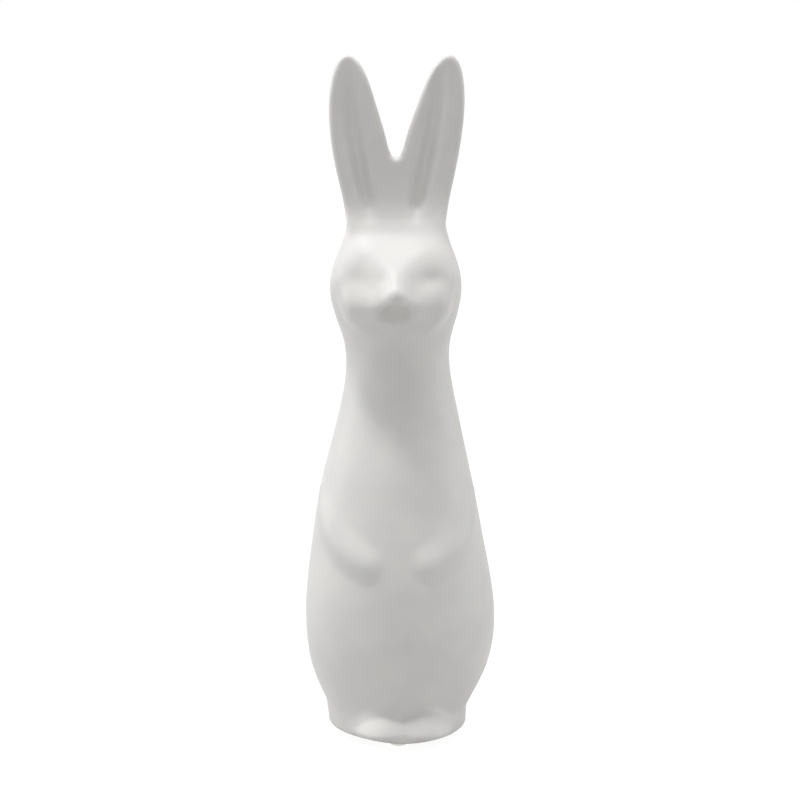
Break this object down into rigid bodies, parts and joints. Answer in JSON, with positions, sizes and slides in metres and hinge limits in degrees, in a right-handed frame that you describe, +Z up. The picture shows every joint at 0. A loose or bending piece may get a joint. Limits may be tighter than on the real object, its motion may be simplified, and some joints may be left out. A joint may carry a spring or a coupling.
{
  "type": "ceramic rabbit figurine",
  "caption": "Tall upright rabbit figurine in matt white glazed ceramic, with long grooved ears, paws in low relief and a hollow slip-cast body on clear bumpers.",
  "frame": {"origin": "on the surface that the figurine stands on, under the middle of its box", "axes": "+Z up, the face and paws look along -Y, the rabbit's own left side is at +X"},
  "size_m": [0.084, 0.084, 0.3],
  "materials": {
    "glazed_ceramic": "matt white glaze",
    "clear_bumper": "clear soft polyurethane"
  },
  "bodies": {
    "root": {"body_casting": "glazed_ceramic", "left_ear": "glazed_ceramic", "right_ear": "glazed_ceramic", "left_arm": "glazed_ceramic", "right_arm": "glazed_ceramic", "left_foot": "glazed_ceramic", "right_foot": "glazed_ceramic", "tail": "glazed_ceramic", "front_pad": "clear_bumper", "rear_pad": "clear_bumper", "left_pad": "clear_bumper", "right_pad": "clear_bumper"}
  },
  "joints": []
}
